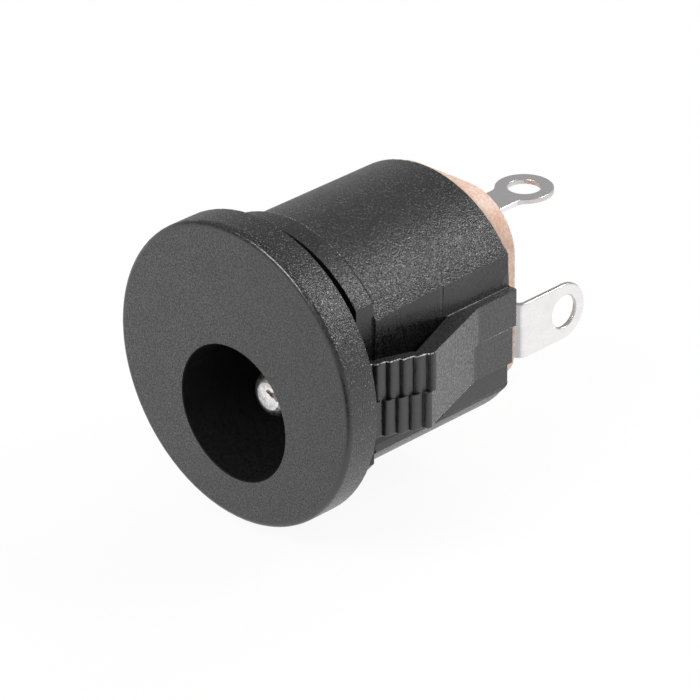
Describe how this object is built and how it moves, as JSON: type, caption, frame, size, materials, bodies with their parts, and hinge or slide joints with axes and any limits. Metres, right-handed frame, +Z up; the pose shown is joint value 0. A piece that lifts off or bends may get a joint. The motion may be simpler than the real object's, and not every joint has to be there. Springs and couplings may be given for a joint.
{
  "type": "dc barrel jack",
  "caption": "Snap-in panel dc barrel jack: round flange, offset plug socket with centre pin, toothed side arms, tan rear board and two eyelet solder terminals.",
  "frame": {"origin": "on the flange's axis, in the plane of the flange's rear face, where the panel seats", "axes": "+Y rearward through the panel towards the terminals, +Z up with the plug opening set low, +X to the side of the pin's solder lug"},
  "size_m": [0.014, 0.0176, 0.014],
  "materials": {
    "black_plastic": "fine matte grain on the face, spark-eroded texture on rim and body, smooth on flats and arms",
    "phenolic_board": "mottled pinkish tan phenolic paper",
    "plated_pin": "bright nickel plate",
    "tinned_sheet": "tin plate, softly polished"
  },
  "bodies": {
    "root": {"housing": "black_plastic", "rear_board": "phenolic_board", "centre_pin": "plated_pin", "pin_terminal": "tinned_sheet", "sleeve_contact": "tinned_sheet"}
  },
  "joints": []
}
